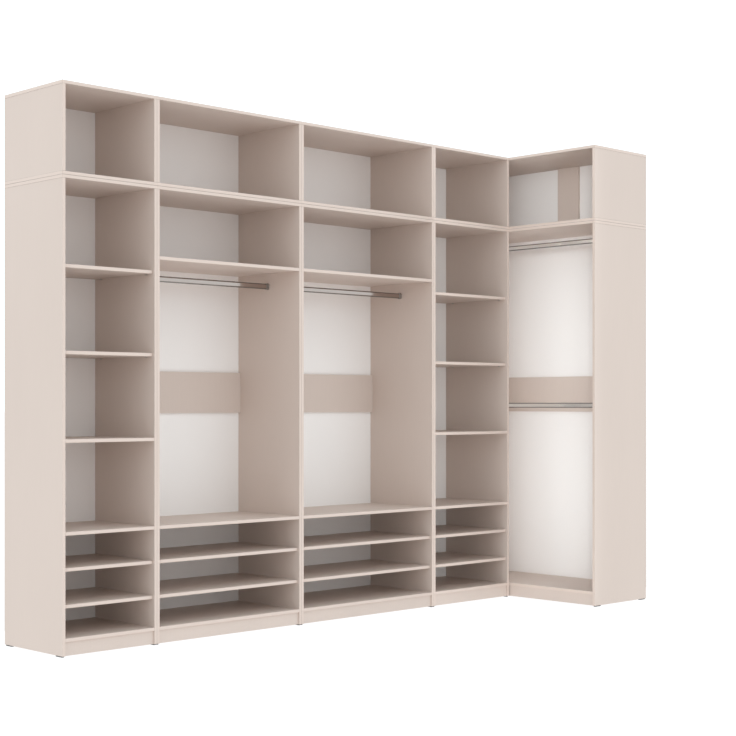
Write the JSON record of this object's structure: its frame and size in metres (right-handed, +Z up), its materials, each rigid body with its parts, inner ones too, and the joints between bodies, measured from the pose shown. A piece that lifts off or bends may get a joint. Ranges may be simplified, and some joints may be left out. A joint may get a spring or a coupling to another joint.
{
  "type": "corner wardrobe",
  "caption": "Open L-shaped corner wardrobe of stacked board cabinets with shelves, loose shoe shelves, hanging rails and boxes above, standing on flat feet.",
  "frame": {"origin": "on the floor, in the middle of the outer box", "axes": "+X along the long wing towards the corner, +Y towards the wall behind the wing, +Z up"},
  "size_m": [3.63, 1.14, 2.635],
  "materials": {
    "laminate_board": "cashmere beige laminate with matching edge band, fine matt grain",
    "back_sheet": "thin fibreboard, white on the inside, plain brown behind",
    "rail_chrome": "chromed steel tube",
    "socket_metal": "plated die casting",
    "pin_nickel": "nickel plated",
    "screw_steel": "zinc plated",
    "dowel_wood": "plain beech",
    "foot_plastic": "moulded, matt"
  },
  "bodies": {
    "carcass": {"back_strips": "laminate_board", "carcass_screws": "screw_steel", "corner_back": "back_sheet", "corner_bottom": "laminate_board", "corner_plinths": "laminate_board", "corner_rails": "rail_chrome", "corner_sides": "laminate_board", "corner_top": "laminate_board", "corner_upper_back": "back_sheet", "corner_upper_box": "laminate_board", "dowels": "dowel_wood", "feet": "foot_plastic", "hanging_rails": "rail_chrome", "joining_screws": "screw_steel", "left_hanging_back": "back_sheet", "left_hanging_bottom": "laminate_board", "left_hanging_fixed_shelves": "laminate_board", "left_hanging_plinths": "laminate_board", "left_hanging_sides": "laminate_board", "left_hanging_top": "laminate_board", "left_hanging_upper_back": "back_sheet", "left_hanging_upper_box": "laminate_board", "left_shelf_back": "back_sheet", "left_shelf_bottom": "laminate_board", "left_shelf_fixed_shelves": "laminate_board", "left_shelf_plinths": "laminate_board", "left_shelf_sides": "laminate_board", "left_shelf_top": "laminate_board", "left_shelf_upper_back": "back_sheet", "left_shelf_upper_box": "laminate_board", "rail_sockets": "socket_metal", "right_hanging_back": "back_sheet", "right_hanging_bottom": "laminate_board", "right_hanging_fixed_shelves": "laminate_board", "right_hanging_plinths": "laminate_board", "right_hanging_sides": "laminate_board", "right_hanging_top": "laminate_board", "right_hanging_upper_back": "back_sheet", "right_hanging_upper_box": "laminate_board", "right_shelf_back": "back_sheet", "right_shelf_bottom": "laminate_board", "right_shelf_fixed_shelves": "laminate_board", "right_shelf_plinths": "laminate_board", "right_shelf_sides": "laminate_board", "right_shelf_top": "laminate_board", "right_shelf_upper_back": "back_sheet", "right_shelf_upper_box": "laminate_board", "shelf_pins": "pin_nickel"},
    "left_hanging_loose_shelf_1": {"left_hanging_loose_shelf_1": "laminate_board"},
    "left_hanging_loose_shelf_2": {"left_hanging_loose_shelf_2": "laminate_board"},
    "left_shelf_loose_shelf_1": {"left_shelf_loose_shelf_1": "laminate_board"},
    "left_shelf_loose_shelf_2": {"left_shelf_loose_shelf_2": "laminate_board"},
    "left_shelf_loose_shelf_3": {"left_shelf_loose_shelf_3": "laminate_board"},
    "left_shelf_loose_shelf_4": {"left_shelf_loose_shelf_4": "laminate_board"},
    "right_hanging_loose_shelf_1": {"right_hanging_loose_shelf_1": "laminate_board"},
    "right_hanging_loose_shelf_2": {"right_hanging_loose_shelf_2": "laminate_board"},
    "right_shelf_loose_shelf_1": {"right_shelf_loose_shelf_1": "laminate_board"},
    "right_shelf_loose_shelf_2": {"right_shelf_loose_shelf_2": "laminate_board"},
    "right_shelf_loose_shelf_3": {"right_shelf_loose_shelf_3": "laminate_board"},
    "right_shelf_loose_shelf_4": {"right_shelf_loose_shelf_4": "laminate_board"}
  },
  "joints": [
    {"name": "left_hanging_loose_shelf_1_slide", "type": "slide", "parent": "carcass", "child": "left_hanging_loose_shelf_1", "axis": [0, -1, 0], "range_m": [0, 0.2]},
    {"name": "left_hanging_loose_shelf_2_slide", "type": "slide", "parent": "carcass", "child": "left_hanging_loose_shelf_2", "axis": [0, -1, 0], "range_m": [0, 0.2]},
    {"name": "left_shelf_loose_shelf_1_slide", "type": "slide", "parent": "carcass", "child": "left_shelf_loose_shelf_1", "axis": [0, -1, 0], "range_m": [0, 0.2]},
    {"name": "left_shelf_loose_shelf_2_slide", "type": "slide", "parent": "carcass", "child": "left_shelf_loose_shelf_2", "axis": [0, -1, 0], "range_m": [0, 0.2]},
    {"name": "left_shelf_loose_shelf_3_slide", "type": "slide", "parent": "carcass", "child": "left_shelf_loose_shelf_3", "axis": [0, -1, 0], "range_m": [0, 0.2]},
    {"name": "left_shelf_loose_shelf_4_slide", "type": "slide", "parent": "carcass", "child": "left_shelf_loose_shelf_4", "axis": [0, -1, 0], "range_m": [0, 0.2]},
    {"name": "right_hanging_loose_shelf_1_slide", "type": "slide", "parent": "carcass", "child": "right_hanging_loose_shelf_1", "axis": [0, -1, 0], "range_m": [0, 0.2]},
    {"name": "right_hanging_loose_shelf_2_slide", "type": "slide", "parent": "carcass", "child": "right_hanging_loose_shelf_2", "axis": [0, -1, 0], "range_m": [0, 0.2]},
    {"name": "right_shelf_loose_shelf_1_slide", "type": "slide", "parent": "carcass", "child": "right_shelf_loose_shelf_1", "axis": [0, -1, 0], "range_m": [0, 0.2]},
    {"name": "right_shelf_loose_shelf_2_slide", "type": "slide", "parent": "carcass", "child": "right_shelf_loose_shelf_2", "axis": [0, -1, 0], "range_m": [0, 0.2]},
    {"name": "right_shelf_loose_shelf_3_slide", "type": "slide", "parent": "carcass", "child": "right_shelf_loose_shelf_3", "axis": [0, -1, 0], "range_m": [0, 0.2]},
    {"name": "right_shelf_loose_shelf_4_slide", "type": "slide", "parent": "carcass", "child": "right_shelf_loose_shelf_4", "axis": [0, -1, 0], "range_m": [0, 0.2]}
  ]
}
